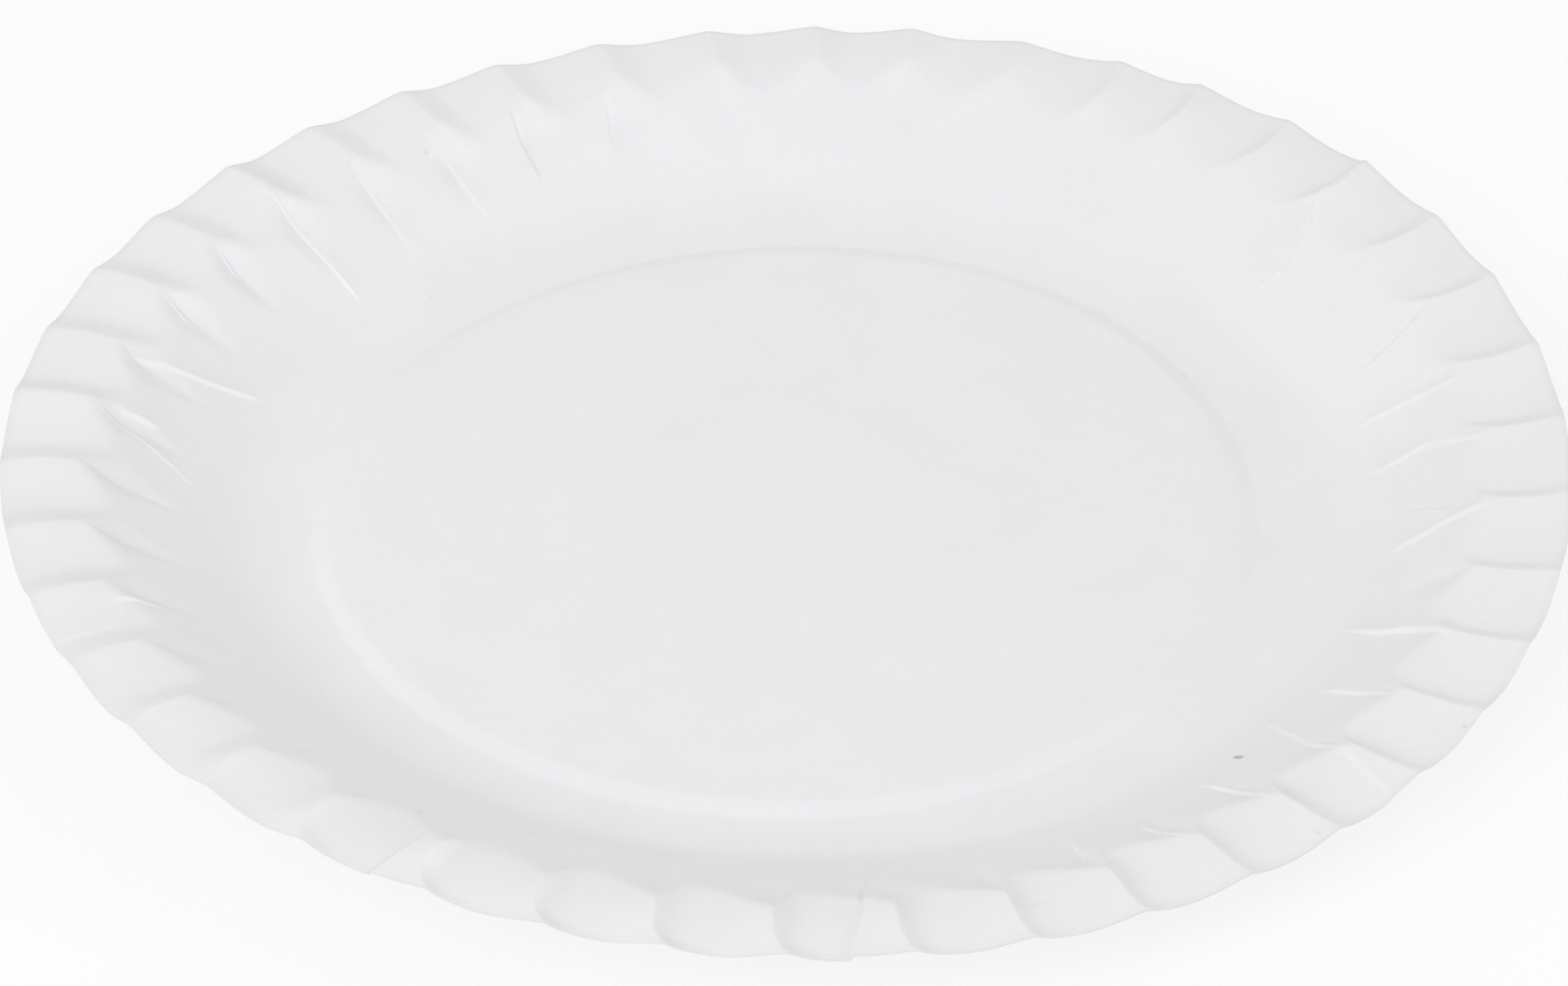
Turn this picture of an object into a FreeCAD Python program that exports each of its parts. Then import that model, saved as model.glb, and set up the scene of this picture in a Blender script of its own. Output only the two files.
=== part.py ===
import FreeCAD, Part
import math
import os

import Sketcher

# A round paper plate, pressed from one sheet of coated card. Millimetres, +Z up. The origin is the
# centre of the plate at the level that it rests on, the underside of the ring round its platform.
# Heights in the sizes are those of the card's upper face above the upper face of that ring.

SIZES = (
    ("card_thickness", 0.45, "coated card, the same everywhere"),
    ("platform_radius", 68.0, "flat middle of the dish, to the top of its step"),
    ("step_radius", 71.5, "foot of the step"),
    ("step_rise", 0.6, "platform above the resting ring"),
    ("ring_radius", 73.0, "outer edge of the flat ring that the plate rests on"),
    ("knee_radius", 82.0, "line where the shallow bowl turns up into the wall"),
    ("knee_height", 0.95, "height of that line"),
    ("wall_radius", 90.5, "line where the wall grows steeper"),
    ("wall_height", 5.5, "height of that line, between two crests"),
    ("flange_radius", 99.4, "corner of wall and flange, between two crests"),
    ("flange_height", 10.95, "height of that corner"),
    ("bend_round", 5.0, "rounding of that corner, on the upper face"),
    ("rim_radius", 115.0, "outer edge"),
    ("rim_height", 12.6, "height of the outer edge between two crests"),
    ("flute_count", 42, "flutes pressed into the rim"),
    ("crest_rise", 0.9, "crest above the bottom of its flutes, at the outer edge"),
    ("crest_reach", 3.6, "how much further out the flange starts at a crest"),
    ("crest_lift", 1.6, "how much higher the flange starts at a crest"),
    ("groove_depth", 0.4, "how far a crest's groove sinks into the wall at wall_radius"),
    ("shoulder_place", 0.4, "shoulder's way from crest to mid-flute, as a share"),
    ("shoulder_share", 0.36, "what is left of a crest at its shoulder, as a share"),
    ("first_crest", 252.0, "direction of one crest, in degrees from +X"),
    ("flute_edge", 0.5, "where the flutes begin across the resting ring, as a share of its width"),
    ("dish_edge", 0.75, "where the turned dish ends across that ring, overlapping the flutes"),
)

FULL_TURN = 360
UP = FreeCAD.Vector(0, 0, 1)

# What the sketcher calls the ends and the centre of a stretch, the sketch's origin and its axis
START, END, CENTRE = 1, 2, 3
ORIGIN, VERTICAL_AXIS = -1, -2

# A rotation made with no angle loses its axis, so each starts at one degree until its size sets it
ANY_TURN = 1.0

RING_WIDTH = "(sizes.ring_radius - sizes.step_radius)"
HALF_PITCH = f"{FULL_TURN // 2} / sizes.flute_count"


def write_sizes(doc):
    sheet = doc.addObject("Spreadsheet::Sheet", "sizes")
    for row, (alias, value, note) in enumerate(SIZES, start=1):
        sheet.set(f"A{row}", note)
        sheet.set(f"B{row}", str(value))
        sheet.setAlias(f"B{row}", alias)
    doc.recompute()


def origin_feature(body, role):
    return next(item for item in body.Origin.OriginFeatures if item.Role == role)


def bind(sketch, name, constraint, expression):
    """Adds a named dimension that is held to the sizes."""
    index = sketch.addConstraint(constraint)
    sketch.renameConstraint(index, name)
    sketch.setExpression(f"Constraints.{name}", expression)


def bend_arc(before, corner, after, radius):
    """The arc that rounds a corner, and the two points where it leaves the straight stretches."""
    back = (before - corner).normalize()
    ahead = (after - corner).normalize()
    half = back.getAngle(ahead) / 2
    centre = corner + (back + ahead).normalize() * (radius / math.sin(half))
    first = corner + back * (radius / math.tan(half))
    last = corner + ahead * (radius / math.tan(half))
    angles = [math.atan2(point.y - centre.y, point.x - centre.x) for point in (last, first)]
    return Part.ArcOfCircle(Part.Circle(centre, UP, radius), *angles), first, last


def draw_side(sketch, points, bend, radius):
    """One face of the card, edge-on: straight stretches, with an arc at the corner named by bend.

    Returns the stretches, and the arc if there is one.
    """
    starts, ends = list(points[:-1]), list(points[1:])
    arc = None
    if bend is not None:
        curve, ends[bend - 1], starts[bend] = bend_arc(*points[bend - 1:bend + 2], radius)
    lines = [
        sketch.addGeometry(Part.LineSegment(first, last), False)
        for first, last in zip(starts, ends)
    ]
    if bend is not None:
        arc = sketch.addGeometry(curve, False)
        sketch.addConstraint(Sketcher.Constraint("Tangent", lines[bend - 1], END, arc, END))
        sketch.addConstraint(Sketcher.Constraint("Tangent", arc, START, lines[bend], START))
    for index in range(1, len(lines)):
        if index != bend:
            joint = (lines[index - 1], END, lines[index], START)
            sketch.addConstraint(Sketcher.Constraint("Coincident", *joint))
    return lines, arc


def place_point(sketch, name, geometry, end, radius, height):
    """Holds a point of the sketch at a radius and a height given as expressions."""
    level = f"sizes.card_thickness + {height}"
    point = (ORIGIN, START, geometry, end)
    if radius == "0":
        sketch.addConstraint(Sketcher.Constraint("PointOnObject", geometry, end, VERTICAL_AXIS))
    else:
        across = Sketcher.Constraint("DistanceX", *point, sketch.evalExpression(radius))
        bind(sketch, f"{name}_radius", across, radius)
    upward = Sketcher.Constraint("DistanceY", *point, sketch.evalExpression(level))
    bind(sketch, f"{name}_height", upward, level)


def draw_card(sketch, corners, rounded=None):
    """A closed outline of the card, edge-on: upper face, lower face one thickness away, two ends.

    corners holds the name, radius and height of each corner of the upper face, from the middle out.
    rounded is the name of the corner that is rounded, if any.
    """
    value = sketch.evalExpression
    names = [name for name, radius, height in corners]
    bend = names.index(rounded) if rounded else None
    thickness = value("sizes.card_thickness")
    upper = [
        FreeCAD.Vector(value(radius), value(f"sizes.card_thickness + {height}"), 0)
        for name, radius, height in corners
    ]
    lower = [point - FreeCAD.Vector(0, thickness, 0) for point in upper]
    round_over = value("sizes.bend_round")
    top, top_arc = draw_side(sketch, upper, bend, round_over)
    under, under_arc = draw_side(sketch, lower, bend, round_over - thickness)

    # Corners of the upper face
    place_point(sketch, corners[0][0], top[0], START, *corners[0][1:])
    for index, (name, radius, height) in enumerate(corners[1:], start=1):
        if index == bend:
            corner = sketch.addGeometry(Part.Point(upper[bend]), True)
            for line in top[bend - 1:bend + 1]:
                sketch.addConstraint(Sketcher.Constraint("PointOnObject", corner, START, line))
            place_point(sketch, name, corner, START, radius, height)
        else:
            place_point(sketch, name, top[index - 1], END, radius, height)

    # The lower face lies one thickness from the upper one
    for index, (line, above) in enumerate(zip(under, top)):
        for end, at_bend in ((START, index == bend), (END, index + 1 == bend)):
            if not at_bend:
                gap = Sketcher.Constraint("Distance", line, end, above, thickness)
                bind(sketch, f"thickness_{index}_{end}", gap, "sizes.card_thickness")
    if bend is not None:
        middles = (top_arc, CENTRE, under_arc, CENTRE)
        sketch.addConstraint(Sketcher.Constraint("Coincident", *middles))
        outer = Sketcher.Constraint("Radius", top_arc, round_over)
        bind(sketch, "bend_above", outer, "sizes.bend_round")
        inner = Sketcher.Constraint("Radius", under_arc, round_over - thickness)
        bind(sketch, "bend_below", inner, "sizes.bend_round - sizes.card_thickness")

    # The two ends stand upright
    for above, below, end in ((top[0], under[0], START), (top[-1], under[-1], END)):
        corners_there = (sketch.getPoint(above, end), sketch.getPoint(below, end))
        edge = sketch.addGeometry(Part.LineSegment(*corners_there), False)
        sketch.addConstraint(Sketcher.Constraint("Coincident", edge, START, above, end))
        sketch.addConstraint(Sketcher.Constraint("Coincident", edge, END, below, end))
        sketch.addConstraint(Sketcher.Constraint("Vertical", edge))


def upright_sketch(body, name):
    """A sketch on the body's XZ plane: x is the distance from the plate's axis, y the height."""
    sketch = body.newObject("Sketcher::SketchObject", name)
    sketch.AttachmentSupport = (origin_feature(body, "XZ_Plane"), [""])
    sketch.MapMode = "FlatFace"
    return sketch


def press_dish(body):
    """Platform, step and the inner part of the resting ring, turned about the axis."""
    sketch = upright_sketch(body, "dish_profile")
    draw_card(sketch, (
        ("middle", "0", "sizes.step_rise"),
        ("platform", "sizes.platform_radius", "sizes.step_rise"),
        ("step", "sizes.step_radius", "0"),
        ("ring", f"sizes.step_radius + sizes.dish_edge * {RING_WIDTH}", "0"),
    ))
    dish = body.newObject("PartDesign::Revolution", "dish")
    dish.Profile = sketch
    dish.ReferenceAxis = (sketch, ["V_Axis"])
    dish.Angle = FULL_TURN


def flute_section(body, name, share, turn):
    """The card cut along a radius, with the given share of a crest, turned about the axis."""
    sketch = upright_sketch(body, name)
    if turn:
        sketch.AttachmentOffset = FreeCAD.Placement(
            FreeCAD.Vector(0, 0, 0), FreeCAD.Rotation(FreeCAD.Vector(0, 1, 0), ANY_TURN)
        )
        sketch.setExpression("AttachmentOffset.Rotation.Angle", turn)
    draw_card(sketch, (
        ("seam", f"sizes.step_radius + sizes.flute_edge * {RING_WIDTH}", "0"),
        ("ring", "sizes.ring_radius", "0"),
        ("knee", "sizes.knee_radius", "sizes.knee_height"),
        ("wall", "sizes.wall_radius", f"sizes.wall_height - {share} * sizes.groove_depth"),
        (
            "flange",
            f"sizes.flange_radius + {share} * sizes.crest_reach",
            f"sizes.flange_height + {share} * sizes.crest_lift",
        ),
        ("rim", "sizes.rim_radius", f"sizes.rim_height + {share} * sizes.crest_rise"),
    ), rounded="flange")
    return sketch


def press_flutes(body):
    """One flute from crest to crest, lofted through five sections, and repeated round the axis."""
    near_shoulder = f"sizes.shoulder_place * {HALF_PITCH}"
    far_shoulder = f"(2 - sizes.shoulder_place) * {HALF_PITCH}"
    sections = [
        flute_section(body, "crest", "1", None),
        flute_section(body, "shoulder", "sizes.shoulder_share", near_shoulder),
        flute_section(body, "mid_flute", "0", HALF_PITCH),
        flute_section(body, "far_shoulder", "sizes.shoulder_share", far_shoulder),
        flute_section(body, "next_crest", "1", f"2 * {HALF_PITCH}"),
    ]
    flute = body.newObject("PartDesign::AdditiveLoft", "flute")
    flute.Profile = sections[0]
    flute.Sections = sections[1:]
    flute.Ruled = True
    flute.Refine = False

    flutes = body.newObject("PartDesign::PolarPattern", "flutes")
    flutes.Originals = [flute]
    flutes.Axis = (origin_feature(body, "Z_Axis"), [""])
    flutes.Angle = FULL_TURN
    flutes.setExpression("Occurrences", "sizes.flute_count")
    body.Tip = flutes


def make_plate(doc):
    body = doc.addObject("PartDesign::Body", "plate")
    body.Label = "plate"
    press_dish(body)
    press_flutes(body)
    body.Placement = FreeCAD.Placement(FreeCAD.Vector(0, 0, 0), FreeCAD.Rotation(UP, ANY_TURN))
    body.setExpression("Placement.Rotation.Angle", "sizes.first_crest")
    return body


def check(doc, parts):
    for item in doc.Objects:
        if "Invalid" in item.State or "Error" in item.State:
            raise RuntimeError(f"{item.Name} failed: {item.State}")
    for item in parts:
        if item.Shape.isNull() or not item.Shape.isValid():
            raise RuntimeError(f"{item.Label} has no valid shape")


doc = FreeCAD.newDocument("paper_plate")
write_sizes(doc)
plate = make_plate(doc)
doc.recompute()
check(doc, [plate])
os.makedirs("parts", exist_ok=True)
plate.Shape.exportStep(f"parts/{plate.Label}.step")
print(len(plate.Shape.Solids), "solid,", round(plate.Shape.Volume), "cubic mm,", plate.Shape.BoundBox)
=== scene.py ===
import math

import bpy
import numpy as np
from mathutils import Matrix, Vector


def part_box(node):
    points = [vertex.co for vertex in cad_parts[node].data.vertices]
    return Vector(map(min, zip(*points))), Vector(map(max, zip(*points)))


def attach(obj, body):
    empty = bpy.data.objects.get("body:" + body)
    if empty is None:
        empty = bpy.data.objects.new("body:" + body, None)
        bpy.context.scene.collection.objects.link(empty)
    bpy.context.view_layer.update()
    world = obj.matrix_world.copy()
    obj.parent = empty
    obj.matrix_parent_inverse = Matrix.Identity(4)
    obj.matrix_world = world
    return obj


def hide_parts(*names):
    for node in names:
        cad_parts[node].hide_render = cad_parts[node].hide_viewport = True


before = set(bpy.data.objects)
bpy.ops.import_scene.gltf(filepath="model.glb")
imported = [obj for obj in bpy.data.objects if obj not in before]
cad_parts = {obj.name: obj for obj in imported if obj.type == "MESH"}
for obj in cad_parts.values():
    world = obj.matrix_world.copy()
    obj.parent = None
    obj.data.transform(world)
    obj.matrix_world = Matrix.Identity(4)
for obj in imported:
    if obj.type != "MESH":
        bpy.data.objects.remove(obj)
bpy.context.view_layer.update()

# A round paper plate, pressed from one sheet of coated card. The mesh is worked out in millimetres
# and written in metres. Directions are degrees counter-clockwise from +X, and the camera looks
# along +Y and down. A name that ends in WAY holds the direction in which something is strongest,
# and one that ends in FOCUS how closely it keeps to that direction.

MM = 0.001
lowest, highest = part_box("plate")
RIM_RADIUS = round((highest.x - lowest.x) / 2 / MM, 1)
CARD = 0.45

# Dish: heights are those of the card's upper face above the upper face of the resting ring
STEP_WIDTH = 3.2
STEP_RADIUS = 71.0
STEP_RISE = 0.74
STEP_EASE = 1.3
RING_RADIUS = 72.0
BOWL_CURVE = 36.0
BOWL_REACH = 20.0
KNEE_RADIUS = 82.0
KNEE_HEIGHT = 1.42
KNEE_BLEND = 0.4
WALL_START = 79.0
WALL_TOP_RADIUS = 99.4
WALL_TOP_HEIGHT = 10.95
WALL_SAG = 0.25
BEND_BLEND = 0.6
RIM_HEIGHT = 12.5
RIM_SLOPE = -1.0
FLANGE_CURL = 0.9

# The knee and the top of the wall stand further out in some directions, and on the soft side the
# wall sags more
KNEE_BACKWARD = 0.7
KNEE_SOFT_SHIFT = 1.0
WALL_TOP_SHIFT = 0.4
WALL_TOP_SHIFT_WAY = 65.0
WALL_SAG_SOFT = 0.25
SOFT_WAY = 322.0
SOFT_FOCUS = 3

# The platform leans: on one side it stands higher above the ring, by this share of its rise
PLATFORM_LEAN = 0.28
PLATFORM_LEAN_WAY = 240.0

# How far the foot of the step stands outside its radius, by direction
STEP_DRIFT = (
    (0, -1.1), (15, -0.7), (30, 0.2), (50, 1.0), (65, 1.0), (85, 0.0), (105, -0.8), (125, -1.6),
    (150, -1.0), (180, -0.5), (240, -0.1), (280, 0.1), (300, -0.3), (330, -1.0), (345, -1.4),
    (360, -1.1),
)

# Flutes
FLUTES = 42
FIRST_CREST = 252.0
PITCH = 360.0 / FLUTES
CREST_RISE = 1.2
CREST_RISE_LEFT = 1.25
CREST_UNEVEN = (0.92, 1.08)
CREST_SEED = 7
INNER_RISE = 1.28
CREST_EASE_START = 107.0
CREST_ROUND = 0.014
CREST_STEPS = 400

# Towards the edge, the flutes that fall steeply ease into an even wave
EDGE_EASE = 0.4
EDGE_START = 112.8

# On the left and far sides the flutes climb steeply instead of falling: the directions where that
# starts, where it is full, where it begins to fade, and where it ends
LEFT_START = 66.0
LEFT_GROWN = 78.0
LEFT_FADES = 230.0
LEFT_END = 244.0

# On the near side the flutes are pressed higher and steeper
PRESSED_RISE = 0.45
PRESSED_STEEP = 0.45
PRESSED_WAY = 270.0
PRESSED_FOCUS = 4

# At the edge each crest has turned by some degrees, and by more on the near left. On the right it
# bows as well
EDGE_TURN = 0.3
EDGE_LEAN = 1.1
EDGE_LEAN_WAY = 249.0
EDGE_LEAN_FOCUS = 6
TURN_START = 108.0
TURN_POWER = 3
BOW = 0.8
BOW_WAY = 15.0
BOW_FOCUS = 2
BOW_RADIUS = 106.5
BOW_REACH = 6.5

# Grooves that sink into the wall below the crests
GROOVE_START = 89.0
GROOVE_MIDDLE = 98.0
GROOVE_TOP = 103.0
GROOVE_END = 104.0
GROOVE_CREST = 105.0
GROOVE_DEPTH = 0.12
GROOVE_WIDTH = 4.4
GROOVE_WIDTH_AFTER = 3.4
GROOVE_WIDTH_LEAST = 0.4
GROOVE_ROUND = 1.2
GROOVE_FADE = 0.85
CREST_SINK = 1.15
CREST_SINK_SIDES = 0.2
CREST_SINK_END = 102.0

# What is left of a crest across a flute, as (place, share), from a crest to the next
FALLS_FIRST = (
    (0, 1), (0.17, 0.18), (0.23, 0.08), (0.36, 0), (0.5, 0.07), (0.7, 0.3), (0.87, 0.64), (1, 1),
)
CLIMBS_LAST = (
    (0, 1), (0.07, 0.9), (0.2, 0.6), (0.35, 0.27), (0.5, 0.07), (0.6, 0), (0.69, 0.06),
    (0.82, 0.42), (0.93, 0.82), (1, 1),
)

# How far each crest stands from its even place, in degrees, from the first crest on
CREST_DRIFT = (
    0.4, 0.2, 0.1, 0.4, 0.2, -0.1, -0.3, -0.9, -1.2, -1.4, -1.6, -1.6, -1.1, -0.5,
    -0.1, 0.4, 0.4, 0.6, 0.3, 0.3, -1.1, -1.3, -0.8, -1.5, -1.5, -1.1, -1.0, -1.2,
    -1.1, -1.1, -0.9, -1.0, -0.8, -0.3, 0.2, 0.3, 0.2, 0.1, -0.2, -0.7, -0.7, 0.4,
)

# The deeper grooves, which don't run straight: by the crest's number, the depth, and the way down
# the wall as (radius, direction). The others are GROOVE_DEPTH deep, and follow a crease that starts
# at their crest, if there is one
GROOVES = {
    11: (0.32, ((103, 344.5), (93, 343.6))),
    25: (0.56, ((103, 105.6), (92, 106.4))),
    26: (0.64, ((103, 114.4), (91, 115.2))),
    27: (0.80, ((103, 122.8), (90, 123.4))),
    28: (0.80, ((103, 131.3), (88, 132.2))),
    29: (0.88, ((103, 139.9), (88, 141.2))),
    30: (1.04, ((103, 148.6), (90, 150.0))),
    31: (1.04, ((103, 157.1), (90, 158.3))),
    32: (1.04, ((103, 165.8), (99, 166.6), (91, 167.2))),
    33: (1.04, ((103, 174.8), (91, 176.0))),
    34: (1.12, ((103, 183.3), (91, 184.9))),
    35: (0.96, ((103, 192.1), (91, 193.7))),
    36: (0.64, ((103, 200.9), (93, 202.0))),
    37: (0.32, ((103, 209.2), (93, 210.4))),
}

# Creases where the card has folded on itself: the height of the fold, the side that it faces (1
# clockwise, -1 counter-clockwise), its width, how far it reaches behind, and its way from the rim
# inwards as (radius, direction)
CREASES = (
    (0.40, 1, 0.6, 1.8, ((101, 294.0), (97, 294.8), (91, 295.7))),
    (0.36, 1, 0.6, 1.8, ((102.5, 302.0), (99, 301.6), (95, 301.6), (92, 302.2))),
    (0.50, 1, 0.7, 2.2, ((102.5, 310.2), (100, 310.1), (90, 310.6))),
    (0.40, 1, 0.6, 1.8, ((102, 318.5), (97, 319.2), (92, 320.6), (86, 322.6))),
    (0.42, 1, 0.6, 2.2, ((101, 327.0), (95, 327.7), (90, 328.5))),
    (0.55, 1, 0.9, 2.4, ((103, 335.4), (101, 336.0), (97, 336.9), (92, 337.4), (87.5, 338.6))),
    (0.50, 1, 0.9, 2.4, ((102.6, 352.5), (97, 352.1), (92, 350.9), (90.5, 350.7))),
    (0.45, 1, 0.7, 2.0, ((102, 1.8), (100, 2.3), (95, 4.0), (90, 3.6), (88, 3.6))),
    (0.40, 1, 0.6, 2.0, ((101.5, 10.0), (95, 10.7), (88, 11.2))),
    (0.14, -1, 0.6, 1.8, ((103, 20.0), (96, 18.8), (90, 18.0))),
    (0.58, 1, 0.7, 2.4, ((106, 38.1), (103, 37.4), (98, 36.3), (93, 34.7), (88, 35.2), (84, 35.0))),
    (0.32, 1, 0.8, 2.4, ((102, 45.5), (97, 46.0))),
    (0.38, 1, 0.8, 1.6, ((103, 54.0), (93, 54.0))),
    (0.30, 1, 0.6, 1.8, ((103, 106.6), (98, 107.0), (93, 107.4))),
    (0.32, 1, 0.6, 1.8, ((103, 115.4), (98, 115.6), (91, 115.3))),
    (0.22, -1, 0.5, 1.6, ((104, 123.3), (96, 122.9), (87, 122.6))),
    (0.22, -1, 0.5, 1.4, ((105, 131.3), (98, 131.6), (88, 132.2))),
    (0.36, -1, 0.5, 1.8, ((106, 140.0), (98, 140.5), (92, 140.9), (84, 141.6))),
    (0.30, -1, 0.5, 1.2, ((103, 148.6), (100, 149.3), (98, 149.5))),
    (0.26, -1, 0.5, 1.2, ((103, 157.2), (99, 158.0), (97, 158.2))),
    (0.36, -1, 0.7, 1.6, ((101, 166.4), (97, 165.2), (94, 164.8), (90, 164.0), (84.5, 162.5))),
    (0.60, -1, 0.8, 1.2, ((99, 173.9), (94.5, 174.0))),
    (0.22, -1, 0.5, 1.6, ((103, 175.0), (96, 176.5), (91, 178.3), (88, 180.0))),
    (0.40, -1, 0.6, 1.2, ((104, 203.0), (100, 202.9), (96, 202.9))),
    (0.26, -1, 0.5, 2.0, ((102, 275.7), (96, 276.4), (90, 277.4))),
    (0.14, -1, 0.5, 2.0, ((98, 353.6), (94, 355.2), (91, 356.3))),
    # Pleats across the rim
    (0.80, 1, 0.8, 5.0, ((118, 274.4), (112, 274.9), (105, 275.8), (101, 276.2))),
    (0.60, 1, 0.8, 6.0, ((118, 240.4), (112, 241.3), (107, 242.0), (101, 243.0))),
    (0.18, -1, 0.5, 4.0, ((118, 206.5), (112, 206.3), (106, 206.0), (103.5, 205.2), (101.5, 204.2))),
    (0.45, 1, 1.6, 3.0, ((118, 316.2), (107, 317.8), (103, 318.5))),
    (0.30, 1, 5.6, 3.0, ((118, 138.1), (102, 138.1))),
    (0.30, 1, 4.6, 3.0, ((118, 173.1), (102, 173.1))),
    (0.35, -1, 0.7, 2.5, ((118, 39.1), (110, 38.8), (105, 38.3))),
)

# A groove follows a crease that starts between these radii, this many degrees from its crest at most
CREASE_STARTS = (100.0, 105.0)
CREASE_NEAR = 3.2

# How far a fold tapers beyond its ends, and inside its lower end
FOLD_END = 1.5
FOLD_EASE = 2.0

# The rim is warped: it stands higher on two opposite sides
WARP_DIAGONAL = 2.1
WARP_ACROSS = 0.85
WARP_START = 70.0
WARP_END = 112.0

# The cut edge is rounded a little
EDGE_ROUND = 0.25
EDGE_DROP = 0.12

# Card: linear colour, and the shades that its clouds, grain, painted shade at the rim's border and cut
# edge multiply it by.
# A noise has its scale and its detail, and a range holds the noise levels that count
CARD_COLOUR = (0.80, 0.80, 0.815)
CLOUD_NOISE = (70.0, 3)
CLOUD_SHADES = (0.99, 1.01)
GRAIN_NOISE = (1100.0, 4)
GRAIN_SHADES = (0.992, 1.008)
SHADE_RANGE = (0.3, 0.7)
# Painted shade: the card darkens from this radius out to the rim, down to this shade
RIM_SHADE_START = 113.6
RIM_PAINTED_SHADE = 0.95
CUT_SHADE = 0.96
RUB_NOISE = (45.0, 5)
RUB_RANGE = (0.45, 0.7)
ROUGHNESS = (0.36, 0.46)
REFRACTION = 1.5
COAT = 0.2
COAT_ROUGHNESS = 0.25
FIBRE_NOISE = (420.0, 4)
FIBRE_STRETCH = 5.0
FIBRE_DEPTH = 0.012 * MM
PIT_NOISE = (1100.0, 3)
WAVE_NOISE = (60.0, 1)
WAVE_DEPTH = 0.12 * MM

# Specks in the card: direction, radius, length along the radius, width, and shade. A speck is full
# within SPECK_CORE of its half size, and gone at SPECK_END
SPECK_CORE = 0.6
SPECK_END = 1.1
SPECKS = (
    (316.4, 88.1, 2.0, 1.1, 0.5),
    (246.9, 88.2, 0.9, 0.8, 0.88),
    (238.9, 97.0, 1.2, 0.8, 0.86),
    (203.0, 93.0, 0.7, 1.0, 0.92),
    (124.5, 100.5, 0.8, 0.8, 0.86),
    (134.6, 78.6, 0.7, 0.9, 0.94),
    (288.4, 107.2, 0.35, 6.0, 0.94),
    (326.1, 114.3, 0.9, 0.7, 0.88),
    (310.0, 113.5, 0.8, 0.6, 0.9),
)

# Surround: sizes in metres
FLOOR_REACH = 3.0
FLOOR_GAP = 0.02 * MM
FLOOR_COLOUR = 0.9
FLOOR_ROUGHNESS = 0.9
FLOOR_GLOW = 1.0
FLOOR_GLOW_SHARE = 0.82
WORLD_LIGHT = 0.5

# Lamps: name, direction, elevation and power. All stand as far away, and are as large
LAMP_DISTANCE = 1.6
LAMP_SIZE = 1.2
LAMPS = (
    ("key", 237, 35, 12.9),
    ("right", 12, 35, 5.8),
    ("low_right", 327, 12, 4.3),
    ("far_left", 147, 35, 2.7),
    ("back", 102, 35, 0.9),
)

# Camera, in the frame of a 1768 by 1112 picture
PICTURE_WIDTH = 1768
PICTURE_HEIGHT = 1112
CAMERA_ELEVATION = 36.53
CAMERA_DISTANCE = 0.9944
CAMERA_ROLL = 0.36
CAMERA_REACH = 20
FOCAL_PIXELS = 7570.7
AIM_PIXEL = (886.4, 577.5)
AIM_HEIGHT = 1.2 * MM
SENSOR = 36.0

# Mesh: columns of a flute in its fine and its coarse part, the angle that counts as an edge, how far
# to both sides a slope is measured, and the radii of the rings. The arguments of np.arange are the
# start, the end and the spacing of a stretch
COLUMNS = 28
COARSE = 7
SHARP_ANGLE = 50
SLOPE_REACH = 0.1
MIDDLE_RINGS = (4, 12, 22, 32, 42, 52, 60, 65, 67)
STEP_RINGS = (*np.arange(67.6, 71.3, 0.4), 71.6, 72.2, 73.0)
BOWL_RINGS = tuple(np.arange(74, 81.6, 1.25))
WALL_RINGS = (*np.arange(82.2, 95, 0.9), *np.arange(95, 106, 0.6))
FLANGE_RINGS = (*np.arange(106, 114.3, 0.8), RIM_RADIUS - EDGE_ROUND)

# Columns gather at the crests and at narrow folds: how densely, and within what distance
COLUMN_STEPS = 241
GATHER_END = 92.0
CREST_GATHER = 3
CREST_REACH = 1.1
FOLD_GATHER = 6
FOLD_REACH = 0.4
FOLD_WIDTH_SHARE = 0.8
FOLD_NARROW = 2.0


def smooth_step(low, high, value):
    share = np.clip((value - low) / (high - low), 0, 1)
    return share * share * (3 - 2 * share)


def smooth_max(first, second, width):
    """The larger of two heights, with their meeting line rounded over width."""
    near = np.clip(width - np.abs(first - second), 0, None) / width
    return np.maximum(first, second) + near * near * width / 4


def smooth_min(first, second, width):
    return -smooth_max(-first, -second, width)


def between(low, high, share):
    return low + (high - low) * share


def turn_from(start, direction):
    """How far a direction is from another counter-clockwise, from -180 to 180 degrees."""
    return (direction - start + 180) % 360 - 180


def strongest_at(way, direction, focus):
    """1 in the direction of way, less away from it, and 0 from a quarter turn on."""
    return np.clip(np.cos(np.radians(direction - way)), 0, 1) ** focus


def soften(points, width):
    """A closed line through the points, with its corners rounded over width."""
    places = np.arange(CREST_STEPS) / CREST_STEPS
    shares = np.interp(places, *zip(*points))
    distance = np.minimum(places, 1 - places)
    spread = np.exp(-(distance / width) ** 2)
    smooth = np.fft.ifft(np.fft.fft(shares) * np.fft.fft(spread / spread.sum())).real
    return np.append(places, 1), np.append(smooth, smooth[0])


FALLING = soften(FALLS_FIRST, CREST_ROUND)
CLIMBING = soften(CLIMBS_LAST, CREST_ROUND)
CREST_SHARES = np.random.default_rng(CREST_SEED).uniform(*CREST_UNEVEN, FLUTES)


def crest_direction(number):
    """Direction of a crest at the top of the wall, in degrees."""
    return FIRST_CREST + number * PITCH + CREST_DRIFT[number]


def crest_line(number, radius):
    """Direction of a crest at each radius, in degrees."""
    crest = crest_direction(number)
    turn = EDGE_TURN + EDGE_LEAN * strongest_at(EDGE_LEAN_WAY, crest, EDGE_LEAN_FOCUS)
    edge = np.clip((radius - TURN_START) / (RIM_RADIUS - TURN_START), 0, 1) ** TURN_POWER
    bow = BOW * strongest_at(BOW_WAY, crest, BOW_FOCUS)
    inner = np.clip((radius - BOW_RADIUS) / BOW_REACH, -1, 1) ** 2 - 1
    return crest + turn * edge + bow * inner


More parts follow.
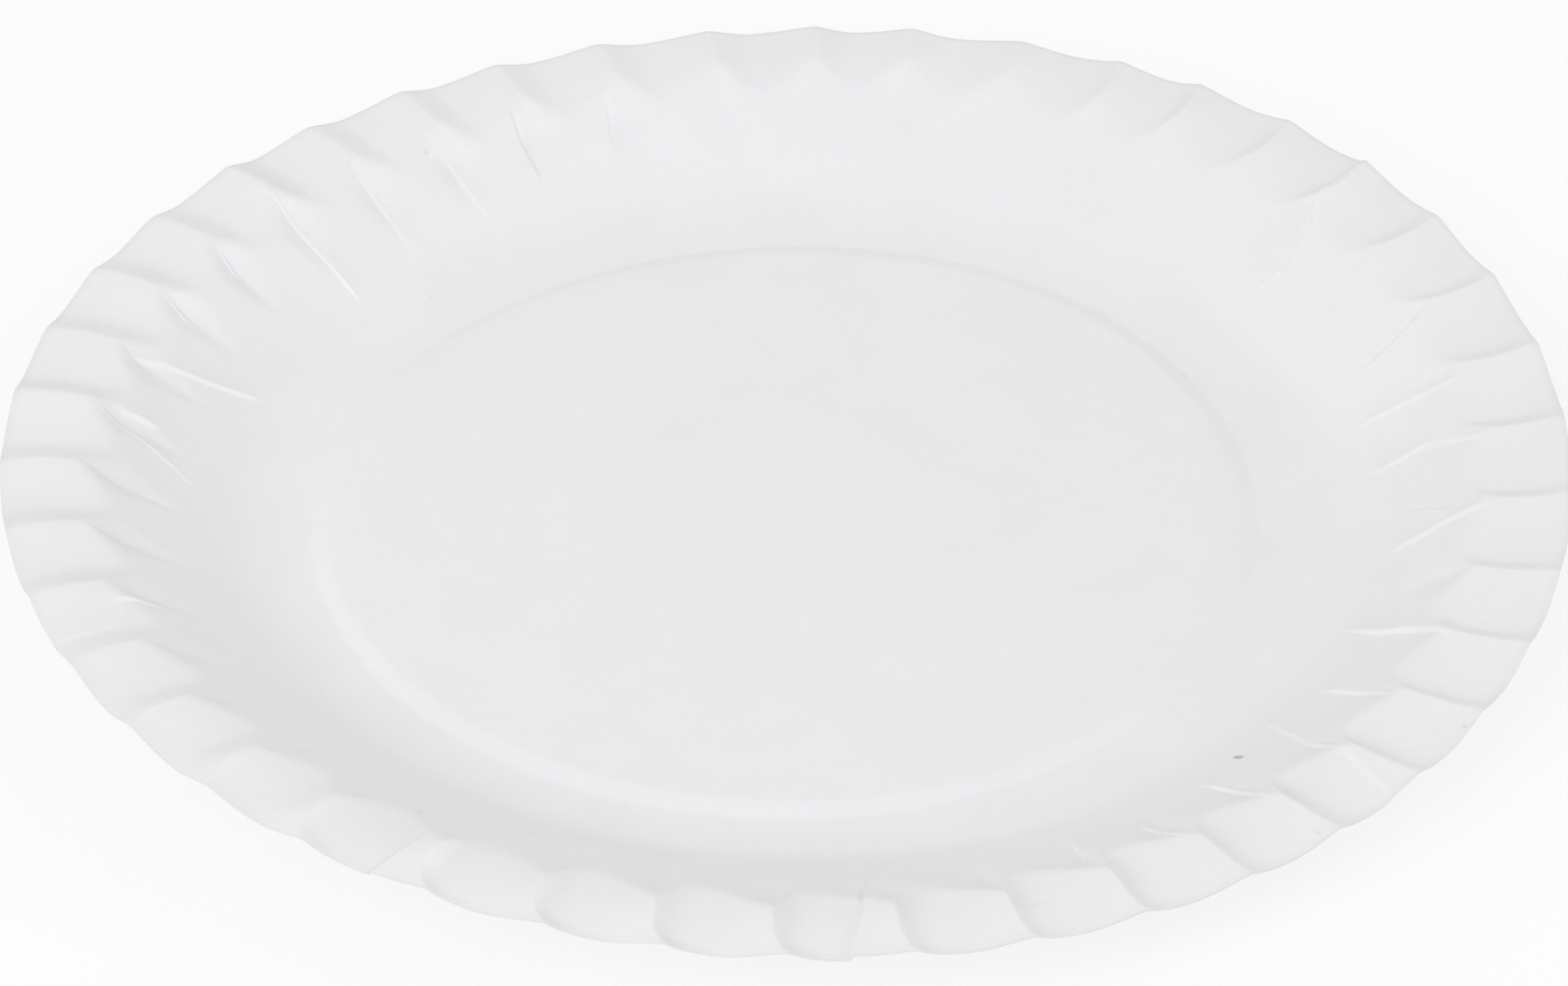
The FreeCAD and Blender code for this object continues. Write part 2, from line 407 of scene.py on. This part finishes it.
def left_side(direction):
    """1 where the flutes climb steeply, round the left and far sides, and 0 where they fall."""
    turn = LEFT_START + (direction - LEFT_START) % 360
    return smooth_step(LEFT_START, LEFT_GROWN, turn) * smooth_step(LEFT_END, LEFT_FADES, turn)


def pressed_side(direction):
    """1 in the middle of the near side, where the flutes are pressed the most, and 0 elsewhere."""
    return strongest_at(PRESSED_WAY, direction, PRESSED_FOCUS)


def crest_strength(radius, direction):
    """How much higher the crests stand inside the edge, and on the strongly pressed side."""
    inside = between(INNER_RISE, 1, smooth_step(CREST_EASE_START, RIM_RADIUS, radius))
    return inside + PRESSED_RISE * pressed_side(direction) * (inside - 1) / (INNER_RISE - 1)


def flute_share(number, place, radius):
    """What is left of the crests across a flute: 1 at both its crests, 0 at its lowest line."""
    middle = FIRST_CREST + (number + 0.5) * PITCH
    left = left_side(middle)
    even = 0.5 + 0.5 * np.cos(2 * math.pi * place)
    place = place + PRESSED_STEEP * pressed_side(middle) * place * (1 - place)
    pressed = between(np.interp(place, *FALLING), np.interp(place, *CLIMBING), left)
    ease = EDGE_EASE * (1 - left) * smooth_step(EDGE_START, RIM_RADIUS, radius)
    return pressed + (even - pressed) * ease


def step_height(radius, direction):
    """Height of the platform and its step above the resting ring."""
    foot = STEP_RADIUS + np.interp(direction % 360, *zip(*STEP_DRIFT))
    down = np.clip((radius - foot + STEP_WIDTH) / STEP_WIDTH, 0, 1)
    lean = np.cos(np.radians(direction - PLATFORM_LEAN_WAY)) * radius / STEP_RADIUS
    return STEP_RISE * (1 + PLATFORM_LEAN * lean) * (1 - down ** STEP_EASE)


def groove_way(crest):
    """The way down the wall of a shallow groove: the crease that starts at its crest, or straight."""
    for rise, side, width, reach, way in CREASES:
        radius, direction = way[0]
        at_wall_top = CREASE_STARTS[0] < radius < CREASE_STARTS[1]
        if at_wall_top and abs(turn_from(crest, direction)) < CREASE_NEAR:
            return way
    return ((GROOVE_TOP, crest),)


def groove_depth(number, radius, direction):
    """The groove that sinks into the wall below a crest: sharp at its bottom, wider upwards."""
    crest = crest_direction(number)
    depth, way = GROOVES.get(number, (GROOVE_DEPTH, groove_way(crest)))
    stops = [(at, crest + turn_from(crest, toward)) for at, toward in way if at <= GROOVE_TOP]
    stops = sorted(stops + [(GROOVE_CREST, crest)])
    track = np.interp(radius, *zip(*stops))
    distance = np.radians(turn_from(track, direction)) * radius
    grown = np.clip((radius - GROOVE_START) / (GROOVE_MIDDLE - GROOVE_START), 0, 1)
    grown = grown - GROOVE_FADE * smooth_step(GROOVE_MIDDLE, GROOVE_END, radius)
    width = np.where(distance < 0, GROOVE_WIDTH, GROOVE_WIDTH_AFTER) * grown + GROOVE_WIDTH_LEAST
    return depth * grown * np.clip(1 - np.abs(distance) / width, 0, 1) ** GROOVE_ROUND


def face_height(radius, direction, share, rise, groove):
    """Height of the upper face, where share of a crest is left."""
    outward = np.clip(radius - RING_RADIUS, 0, BOWL_REACH)
    bowl = BOWL_CURVE - np.sqrt(BOWL_CURVE ** 2 - outward ** 2)
    dish = step_height(radius, direction) + bowl
    backward = np.sin(np.radians(direction))
    soft = strongest_at(SOFT_WAY, direction, SOFT_FOCUS)
    knee = KNEE_RADIUS + KNEE_BACKWARD * backward + KNEE_SOFT_SHIFT * soft
    top = WALL_TOP_RADIUS + WALL_TOP_SHIFT * np.cos(np.radians(direction - WALL_TOP_SHIFT_WAY))
    up = (radius - knee) / (top - knee)
    sag = WALL_SAG + WALL_SAG_SOFT * soft
    wall = between(KNEE_HEIGHT, WALL_TOP_HEIGHT, up) - sag * 4 * up * (1 - up)
    sink = between(CREST_SINK_SIDES, CREST_SINK, backward ** 2)
    wall = wall - groove - share * sink * smooth_step(GROOVE_START, CREST_SINK_END, radius)
    inward = RIM_RADIUS - radius
    slope = np.radians(RIM_SLOPE + FLANGE_CURL * inward / 2)
    flange = RIM_HEIGHT + share * rise - inward * np.tan(slope)
    side = smooth_min(smooth_max(dish, wall, KNEE_BLEND), flange, BEND_BLEND)
    return np.where(radius < WALL_START, dish, side)


def warp(radius, direction):
    amount = smooth_step(WARP_START, WARP_END, radius)
    turn = np.radians(direction)
    return amount * (WARP_DIAGONAL * np.sin(2 * turn) + WARP_ACROSS * np.cos(2 * turn))


def fold_distance(way, radius, direction):
    """Distance from a fold in millimetres, counter-clockwise, and how much of it is there."""
    radii, directions = zip(*sorted(way))
    track = np.interp(radius, radii, directions)
    distance = np.radians(turn_from(track, direction)) * radius
    there = smooth_step(radii[0] - FOLD_END, radii[0] + FOLD_EASE, radius)
    there = there * smooth_step(radii[-1] + FOLD_END, radii[-1] - FOLD_END, radius)
    return distance, there


def fold_height(radius, direction):
    """Height of the creases: each rises over its width, and sinks back over its reach."""
    height = np.zeros_like(radius)
    for rise, side, width, reach, way in CREASES:
        distance, there = fold_distance(way, radius, direction)
        ahead = distance * side
        behind = np.exp(-np.clip(ahead - width / 2, 0, None) / reach)
        height += rise * there * smooth_step(-width / 2, width / 2, ahead) * behind
    return height


def column_places(start, end, radius):
    """Places of the mesh's columns between two crests: close together at crests and folds."""
    grid = np.linspace(0, 1, COLUMN_STEPS)
    direction = between(start, end, grid)
    span = math.radians(end - start) * radius
    crest = np.minimum(grid, 1 - grid) * span
    gather = CREST_GATHER * smooth_step(KNEE_RADIUS, GATHER_END, radius)
    density = 1 + gather * np.exp(-(crest / CREST_REACH) ** 2)
    for rise, side, width, reach, way in CREASES:
        if width < FOLD_NARROW:
            distance, there = fold_distance(way, radius, direction)
            near = FOLD_REACH + FOLD_WIDTH_SHARE * width
            density = density + FOLD_GATHER * there * np.exp(-(distance / near) ** 2)
    total = np.concatenate([[0], np.cumsum((density[1:] + density[:-1]) / 2)])
    return np.interp(np.arange(COLUMNS) / COLUMNS, total / total[-1], grid)


def ring_of_points(radius, columns):
    """Directions and heights of a ring, before the creases and the warp."""
    directions, heights = [], []
    for number in range(FLUTES):
        after = (number + 1) % FLUTES
        start = crest_line(number, radius)
        end = crest_line(after, radius) + 360 * (after == 0)
        place = columns[number]
        direction = between(start, end, place)
        left = left_side(FIRST_CREST + (number + 0.5) * PITCH)
        uneven = between(CREST_SHARES[number], CREST_SHARES[after], place)
        rise = between(CREST_RISE, CREST_RISE_LEFT, left) * uneven * crest_strength(radius, direction)
        groove = groove_depth(number, radius, direction) + groove_depth(after, radius, direction)
        share = flute_share(number, place, radius)
        directions.append(direction)
        heights.append(face_height(np.full_like(place, radius), direction, share, rise, groove))
    return np.concatenate(directions), np.concatenate(heights)


def face_points(radii, stride=1):
    """Points of the upper face, one row a radius, and their slope along the radius."""
    rows = []
    for radius in radii:
        lines = [crest_line(number, radius) for number in range(FLUTES)]
        lines.append(lines[0] + 360)
        columns = [
            column_places(start, end, radius)[::stride] for start, end in zip(lines, lines[1:])
        ]
        direction, height = ring_of_points(radius, columns)
        inside = ring_of_points(radius - SLOPE_REACH, columns)[1]
        outside = ring_of_points(radius + SLOPE_REACH, columns)[1]
        slope = (outside - inside) / (2 * SLOPE_REACH)
        rows.append((np.full_like(height, radius), direction, height, slope))
    radius, direction, height, slope = (np.array(part) for part in zip(*rows))
    height += fold_height(radius, direction) + warp(radius, direction)
    return radius, direction, height + CARD, slope


def as_points(radius, direction, height):
    turn = np.radians(direction)
    return np.stack([radius * np.cos(turn), radius * np.sin(turn), height], -1).reshape(-1, 3)


class Shell:
    """Vertices and faces of the plate, gathered ring by ring."""

    def __init__(self):
        self.points = []
        self.count = 0
        self.faces = []

    def add_rings(self, points, rings):
        """Adds rings of points, and returns the numbers of each ring's points."""
        size = len(points) // rings
        self.points.append(points)
        numbers = np.arange(self.count, self.count + len(points)).reshape(rings, size)
        self.count += len(points)
        return list(numbers)

    def bridge(self, inner, outer, flip):
        """Faces between two rings with as many points."""
        after_inner, after_outer = np.roll(inner, -1), np.roll(outer, -1)
        quads = np.stack([inner, outer, after_outer, after_inner], -1)
        self.faces += [tuple(q[::-1]) if flip else tuple(q) for q in quads.tolist()]

    def widen(self, inner, outer, flip):
        """Faces between a coarse ring and one with COLUMNS / COARSE times as many points."""
        ratio = len(outer) // len(inner)
        half = ratio // 2
        for index, first in enumerate(inner.tolist()):
            second = int(inner[(index + 1) % len(inner)])
            span = [int(outer[(index * ratio + step) % len(outer)]) for step in range(ratio + 1)]
            triangles = [(first, span[step], span[step + 1]) for step in range(half)]
            triangles.append((first, span[half], second))
            triangles += [(second, span[step], span[step + 1]) for step in range(half, ratio)]
            self.faces += [t[::-1] if flip else t for t in triangles]

    def close_middle(self, ring, centre, flip):
        number = self.count
        self.points.append(np.array([centre]))
        self.count += 1
        for index, first in enumerate(ring.tolist()):
            second = int(ring[(index + 1) % len(ring)])
            triangle = (number, first, second)
            self.faces.append(triangle[::-1] if flip else triangle)


def add_face(shell, inner_radii, outer_radii, below):
    """Adds one face of the card, and returns the numbers of the points at its rim."""
    rings = []
    stride = COLUMNS // COARSE
    for radii, step in ((inner_radii, stride), (outer_radii, 1)):
        radius, direction, height, slope = face_points(radii, step)
        if below:
            # The card is as thick on a slope, and nothing sinks below what the plate stands on
            height = np.clip(height - CARD * np.sqrt(1 + slope ** 2), 0, None)
        rings.append(shell.add_rings(as_points(radius, direction, height), len(radii)))
    coarse, fine = rings
    for inner, outer in zip(coarse[:-1], coarse[1:]):
        shell.bridge(inner, outer, below)
    shell.widen(coarse[-1], fine[0], below)
    for inner, outer in zip(fine[:-1], fine[1:]):
        shell.bridge(inner, outer, below)
    middle = STEP_RISE + (0 if below else CARD)
    shell.close_middle(coarse[0], (0, 0, middle), below)
    return fine[-1]


def make_plate():
    shell = Shell()
    dish = MIDDLE_RINGS + STEP_RINGS + BOWL_RINGS
    top = add_face(shell, dish, WALL_RINGS + FLANGE_RINGS, below=False)

    # The underside has fewer rings, and the same last one
    under_dish = MIDDLE_RINGS[::2] + STEP_RINGS[::2] + BOWL_RINGS[::2]
    under_side = WALL_RINGS[::3] + FLANGE_RINGS[:-1:3] + FLANGE_RINGS[-1:]
    under = add_face(shell, under_dish, under_side, below=True)

    # The cut edge closes the shell
    edge = face_points([RIM_RADIUS])
    upper = shell.add_rings(as_points(*edge[:2], edge[2] - EDGE_DROP), 1)[0]
    lower = shell.add_rings(as_points(*edge[:2], edge[2] - CARD + EDGE_DROP), 1)[0]
    for inner, outer in ((top, upper), (upper, lower), (lower, under)):
        shell.bridge(inner, outer, False)
    mesh = bpy.data.meshes.new("plate_card")
    mesh.from_pydata((np.concatenate(shell.points) * MM).tolist(), [], shell.faces)
    mesh.validate()
    mesh.shade_smooth()
    mesh.set_sharp_from_angle(angle=math.radians(SHARP_ANGLE))
    plate = bpy.data.objects.new("plate_card", mesh)
    bpy.context.scene.collection.objects.link(plate)
    return plate


class Nodes:
    """A short way to add shader nodes, with their settings and what goes into them."""

    def __init__(self, material):
        self.material = material
        material.use_nodes = True
        self.tree = material.node_tree
        self.shader = self.tree.nodes["Principled BSDF"]
        self.output = self.tree.nodes["Material Output"]

    def add(self, kind, settings=None, **inputs):
        """Adds a node. An input such as _0 is found by its number, and any other by its name."""
        node = self.tree.nodes.new("ShaderNode" + kind)
        for name, value in (settings or {}).items():
            setattr(node, name, value)
        for name, value in inputs.items():
            key = int(name[1:]) if name.startswith("_") else name.replace("_", " ")
            self.put(value, node.inputs[key])
        return node

    def put(self, value, socket):
        if isinstance(value, bpy.types.NodeSocket):
            self.tree.links.new(value, socket)
        else:
            socket.default_value = value

    def math(self, operation, first, second):
        return self.add("Math", {"operation": operation}, _0=first, _1=second).outputs[0]

    def noise(self, place, scale, detail):
        return self.add("TexNoise", Vector=place, Scale=scale, Detail=detail).outputs["Fac"]

    def to_range(self, value, low, high, start, end):
        ends = {"From_Min": low, "From_Max": high, "To_Min": start, "To_Max": end}
        return self.add("MapRange", Value=value, **ends).outputs["Result"]


def speck_shade(nodes, place, speck):
    """How much light a speck in the card lets back: 1 away from it."""
    direction, radius, along, across, shade = speck
    turn = math.radians(direction)
    centre = (radius * MM * math.cos(turn), radius * MM * math.sin(turn), 0)
    local = nodes.add(
        "Mapping", {"vector_type": "TEXTURE"}, Vector=place, Location=centre,
        Rotation=(0, 0, turn), Scale=(along / 2 * MM, across / 2 * MM, 1),
    ).outputs[0]
    distance = nodes.add("VectorMath", {"operation": "LENGTH"}, _0=local).outputs["Value"]
    return nodes.to_range(distance, SPECK_CORE, SPECK_END, shade, 1)


def coated_paper():
    material = bpy.data.materials.new("coated_paper")
    nodes = Nodes(material)
    place = nodes.add("TexCoord").outputs["Object"]

    # Colour: faint clouds in the card, painted shade darkening the rim's border, the raw cut edge, and a
    # few specks
    clouds = nodes.to_range(nodes.noise(place, *CLOUD_NOISE), *SHADE_RANGE, *CLOUD_SHADES)
    grain = nodes.to_range(nodes.noise(place, *GRAIN_NOISE), *SHADE_RANGE, *GRAIN_SHADES)
    flat = nodes.add("VectorMath", {"operation": "MULTIPLY"}, _0=place, _1=(1, 1, 0)).outputs[0]
    radius = nodes.add("VectorMath", {"operation": "LENGTH"}, _0=flat).outputs["Value"]
    # Painted shade along the rim's border, darker towards the edge
    painted_rim_shade = nodes.to_range(radius, RIM_SHADE_START * MM, RIM_RADIUS * MM, 1, RIM_PAINTED_SHADE)
    cut_start, cut_end = (RIM_RADIUS - EDGE_ROUND) * MM, (RIM_RADIUS - EDGE_ROUND / 2) * MM
    cut_edge = nodes.to_range(radius, cut_start, cut_end, 1, CUT_SHADE)
    shade = nodes.math("MULTIPLY", clouds, grain)
    for part in [painted_rim_shade, cut_edge] + [speck_shade(nodes, place, speck) for speck in SPECKS]:
        shade = nodes.math("MULTIPLY", shade, part)
    colour = nodes.add("VectorMath", {"operation": "SCALE"}, _0=CARD_COLOUR, Scale=shade).outputs[0]
    nodes.put(colour, nodes.shader.inputs["Base Color"])

    # Gloss: the coating is a little uneven, and rubbed in places
    rubbed = nodes.to_range(nodes.noise(place, *RUB_NOISE), *RUB_RANGE, *ROUGHNESS)
    nodes.put(rubbed, nodes.shader.inputs["Roughness"])
    nodes.put(REFRACTION, nodes.shader.inputs["IOR"])
    nodes.put(COAT, nodes.shader.inputs["Coat Weight"])
    nodes.put(COAT_ROUGHNESS, nodes.shader.inputs["Coat Roughness"])

    # Relief: fibres of the card along and across its grain, and a slow waviness
    multiply = {"operation": "MULTIPLY"}
    along = nodes.add("VectorMath", multiply, _0=place, _1=(1, FIBRE_STRETCH, 1)).outputs[0]
    fine = nodes.math("ADD", nodes.noise(along, *FIBRE_NOISE), nodes.noise(place, *PIT_NOISE))
    waves = nodes.noise(place, *WAVE_NOISE)
    relief = nodes.add("Bump", Strength=1.0, Distance=FIBRE_DEPTH, Height=fine).outputs[0]
    relief = nodes.add("Bump", Strength=1.0, Distance=WAVE_DEPTH, Height=waves, Normal=relief).outputs[0]
    nodes.put(relief, nodes.shader.inputs["Normal"])
    return material


def add_lamp(name, direction, elevation, power):
    """A round lamp that shines at the plate's middle."""
    light = bpy.data.lights.new(name, "AREA")
    light.shape = "DISK"
    light.size = LAMP_SIZE
    light.energy = power
    lamp = bpy.data.objects.new(name, light)
    bpy.context.scene.collection.objects.link(lamp)
    turn, tilt = math.radians(direction), math.radians(elevation)
    away = Vector((math.cos(turn) * math.cos(tilt), math.sin(turn) * math.cos(tilt), math.sin(tilt)))
    lamp.location = away * LAMP_DISTANCE
    lamp.rotation_euler = (-lamp.location).to_track_quat("-Z", "Y").to_euler()


def make_floor():
    """A white floor that shows the camera only a faint shadow, and lights the plate from below."""
    mesh = bpy.data.meshes.new("floor")
    sides = [(-1, -1), (1, -1), (1, 1), (-1, 1)]
    corners = [(FLOOR_REACH * x, FLOOR_REACH * y, -FLOOR_GAP) for x, y in sides]
    mesh.from_pydata(corners, [], [(0, 1, 2, 3)])
    floor = bpy.data.objects.new("floor", mesh)
    bpy.context.scene.collection.objects.link(floor)
    nodes = Nodes(bpy.data.materials.new("floor"))
    nodes.put((FLOOR_COLOUR,) * 3 + (1,), nodes.shader.inputs["Base Color"])
    nodes.put(FLOOR_ROUGHNESS, nodes.shader.inputs["Roughness"])
    nodes.put(0.0, nodes.shader.inputs["Specular IOR Level"])
    seen = nodes.add("LightPath").outputs["Is Camera Ray"]
    glow = nodes.add("Emission", Strength=FLOOR_GLOW)
    share = nodes.math("MULTIPLY", seen, FLOOR_GLOW_SHARE)
    mix = nodes.add("MixShader", Fac=share, _1=nodes.shader.outputs[0], _2=glow.outputs[0])
    nodes.put(mix.outputs[0], nodes.output.inputs["Surface"])
    mesh.materials.append(nodes.material)


def make_world():
    """A white surround: full white where the camera, a reflection or a see-through ray meets it."""
    world = bpy.data.worlds.new("studio")
    bpy.context.scene.world = world
    world.use_nodes = True
    tree = world.node_tree
    background = tree.nodes["Background"]
    background.inputs["Color"].default_value = (1, 1, 1, 1)
    path = tree.nodes.new("ShaderNodeLightPath")
    seen = path.outputs["Is Camera Ray"]
    for other in ("Is Glossy Ray", "Is Transmission Ray"):
        either = tree.nodes.new("ShaderNodeMath")
        either.operation = "MAXIMUM"
        tree.links.new(seen, either.inputs[0])
        tree.links.new(path.outputs[other], either.inputs[1])
        seen = either.outputs[0]
    strength = tree.nodes.new("ShaderNodeMapRange")
    strength.inputs["To Min"].default_value = WORLD_LIGHT
    tree.links.new(seen, strength.inputs["Value"])
    tree.links.new(strength.outputs["Result"], background.inputs["Strength"])


def make_camera():
    """A camera like the photo's: rolled a little, with the plate's middle off the picture's."""
    data = bpy.data.cameras.new("camera")
    data.sensor_fit = "HORIZONTAL"
    data.sensor_width = SENSOR
    data.lens = FOCAL_PIXELS / PICTURE_WIDTH * SENSOR
    data.shift_x = (PICTURE_WIDTH / 2 - AIM_PIXEL[0]) / PICTURE_WIDTH
    data.shift_y = (AIM_PIXEL[1] - PICTURE_HEIGHT / 2) / PICTURE_WIDTH
    data.clip_end = CAMERA_REACH
    camera = bpy.data.objects.new("camera", data)
    bpy.context.scene.collection.objects.link(camera)
    tilt, roll = math.radians(CAMERA_ELEVATION), math.radians(CAMERA_ROLL)
    back = Vector((0, -math.cos(tilt), math.sin(tilt)))
    right = Vector((1, 0, 0))
    up = back.cross(right)
    turned_right = right * math.cos(roll) + up * math.sin(roll)
    turned_up = up * math.cos(roll) - right * math.sin(roll)
    place = back * CAMERA_DISTANCE + Vector((0, 0, AIM_HEIGHT))
    camera.matrix_world = Matrix((
        (turned_right.x, turned_up.x, back.x, place.x),
        (turned_right.y, turned_up.y, back.y, place.y),
        (turned_right.z, turned_up.z, back.z, place.z),
        (0, 0, 0, 1),
    ))
    bpy.context.scene.camera = camera


plate = make_plate()
plate.data.materials.append(coated_paper())
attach(plate, "root")
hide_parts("plate")
make_floor()
make_world()
for lamp_values in LAMPS:
    add_lamp(*lamp_values)
make_camera()
bpy.context.scene.view_settings.view_transform = "Standard"
